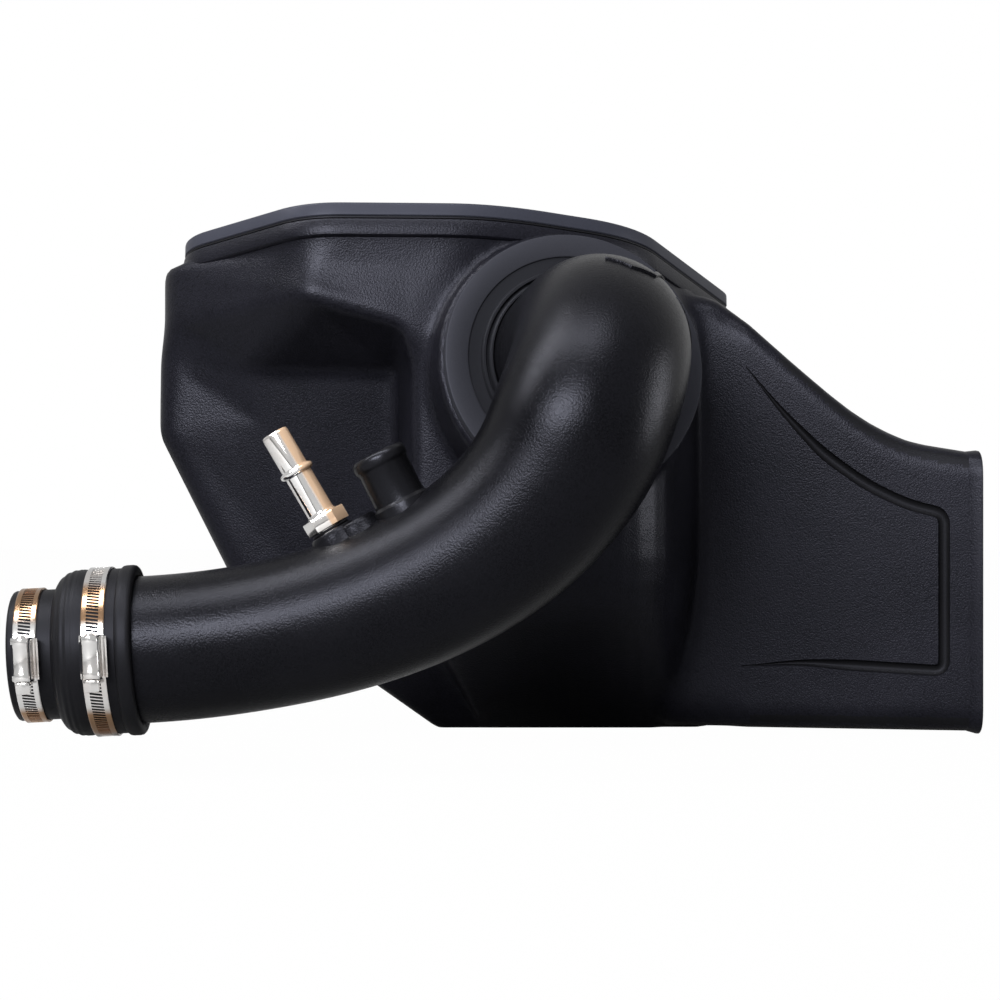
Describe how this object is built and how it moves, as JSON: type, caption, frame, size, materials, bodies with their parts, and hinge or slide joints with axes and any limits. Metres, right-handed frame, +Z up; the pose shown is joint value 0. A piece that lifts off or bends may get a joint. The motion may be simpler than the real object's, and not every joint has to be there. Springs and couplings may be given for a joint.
{
  "type": "cold air intake",
  "caption": "Enclosed cold-air intake: moulded airbox with lid and inlet duct, cone filter inside, curved tube and a clamped rubber reducer.",
  "frame": {"origin": "middle of the flat base of the airbox", "axes": "+X towards the duct mouth, +Z up to the lid, -Y towards the side the tube leaves from"},
  "size_m": [0.5781, 0.3812, 0.3307],
  "materials": {
    "textured_plastic": "pebble-textured black moulding",
    "lid_plastic": "smooth grey-blue moulding",
    "ring_rubber": "smooth dark grey moulding",
    "black_rubber": "plain black rubber",
    "steel": "bright rolled steel",
    "chrome": "polished plating",
    "filter_cotton": "oiled red cotton pleats"
  },
  "bodies": {
    "intake": {"airbox_body": "textured_plastic", "airbox_lid": "lid_plastic", "lid_seal": "black_rubber", "tube_seal_ring": "ring_rubber", "duct_edge_trim": "black_rubber", "mount_bracket": "steel", "bracket_screw": "steel", "intake_tube": "textured_plastic", "breather_nipple": "textured_plastic", "quick_connect_fitting": "chrome", "quick_connect_seal": "black_rubber", "reducer_coupler": "black_rubber", "filter_base": "black_rubber", "filter_media": "filter_cotton", "filter_end_cap": "black_rubber", "lid_screw_1": "steel", "lid_screw_2": "steel", "lid_screw_3": "steel", "lid_screw_4": "steel", "lid_screw_5": "steel", "lid_screw_6": "steel", "lid_screw_7": "steel", "lid_screw_8": "steel", "tube_clamp_band": "steel", "tube_clamp_housing": "steel", "outer_clamp_band": "steel", "outer_clamp_housing": "steel", "filter_clamp_band": "steel", "filter_clamp_housing": "steel"},
    "tube_clamp_worm": {"tube_clamp_screw": "steel"},
    "outer_clamp_worm": {"outer_clamp_screw": "steel"},
    "filter_clamp_worm": {"filter_clamp_screw": "steel"}
  },
  "joints": [
    {"name": "tube_clamp_turn", "type": "hinge", "parent": "intake", "child": "tube_clamp_worm", "pos_m": [-0.26647, -0.33155, 0.06493], "axis": [0.0523, 0, -0.9986], "continuous": true},
    {"name": "outer_clamp_turn", "type": "hinge", "parent": "intake", "child": "outer_clamp_worm", "pos_m": [-0.30542, -0.32175, 0.06289], "axis": [0.0523, 0, -0.9986], "continuous": true},
    {"name": "filter_clamp_turn", "type": "hinge", "parent": "intake", "child": "filter_clamp_worm", "pos_m": [0.05132, -0.13039, 0.22489], "axis": [0.0503, -0.2017, -0.9781], "continuous": true}
  ]
}
